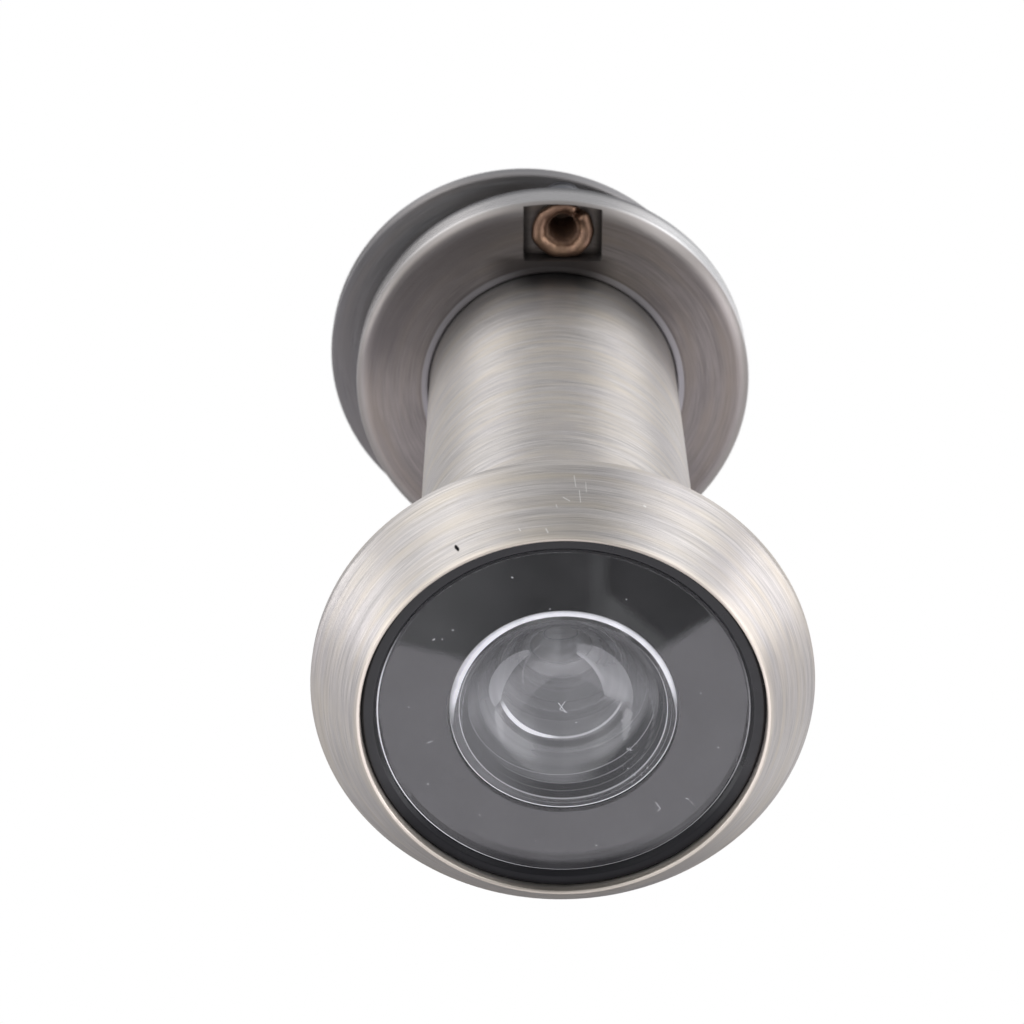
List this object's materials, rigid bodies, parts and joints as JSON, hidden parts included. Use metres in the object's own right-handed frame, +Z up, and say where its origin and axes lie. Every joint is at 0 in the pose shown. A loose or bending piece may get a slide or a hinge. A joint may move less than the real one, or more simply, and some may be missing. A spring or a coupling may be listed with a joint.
{
  "type": "door viewer",
  "caption": "Round door viewer: bevelled outer flange with a wide-angle lens stack, barrel through the door, screw-adjusted inner rose and a riveted swing privacy cover.",
  "frame": {"origin": "on the viewer's axis, at the outer flange's face that rests on the door", "axes": "+Y along the viewer's axis from the outside lens towards the room, +Z up, +X to the right seen from outside"},
  "size_m": [0.0275, 0.048, 0.026],
  "materials": {
    "satin_nickel": "satin antique nickel plate over brass, brushed round the axis",
    "dark_nickel": "darker antique nickel plate, brushed",
    "black_plastic": "moulded, semi-gloss black",
    "black_mask": "thin matt black mask",
    "lens_glass": "clear polished glass, ground rims",
    "rivet_copper": "tarnished copper-coloured brass",
    "spring_steel": "blued spring steel"
  },
  "bodies": {
    "barrel": {"outer_barrel": "satin_nickel", "lens_cell": "black_plastic", "window_ring": "black_plastic", "front_window": "lens_glass", "window_mask": "black_mask", "objective_lens": "lens_glass", "front_spacer": "black_plastic", "second_lens": "lens_glass", "rear_spacer": "black_plastic", "third_lens": "lens_glass"},
    "rose": {"inner_rose": "dark_nickel", "pivot_spacer": "satin_nickel", "wave_washer": "spring_steel", "pivot_rivet": "rivet_copper"},
    "sleeve": {"inner_sleeve": "satin_nickel", "rose_circlip": "spring_steel", "field_stop": "black_plastic", "eyepiece_lens": "lens_glass", "eyepiece_ring": "black_plastic"},
    "cover": {"cover_disc": "dark_nickel"}
  },
  "joints": [
    {"name": "rose_travel", "type": "slide", "parent": "barrel", "child": "rose", "axis": [0, 1, 0], "range_m": [0, 0.02]},
    {"name": "sleeve_turn", "type": "hinge", "parent": "rose", "child": "sleeve", "pos_m": [0, 0.0372, 0], "axis": [0, 1, 0], "range_deg": [0, 7200]},
    {"name": "cover_swing", "type": "hinge", "parent": "rose", "child": "cover", "pos_m": [0.00055, 0.043, 0.0105], "axis": [0, 1, 0], "continuous": true}
  ],
  "couplings": [
    {"joint": "sleeve_turn", "follows": "rose_travel", "rad_per_m": 6283.2}
  ]
}
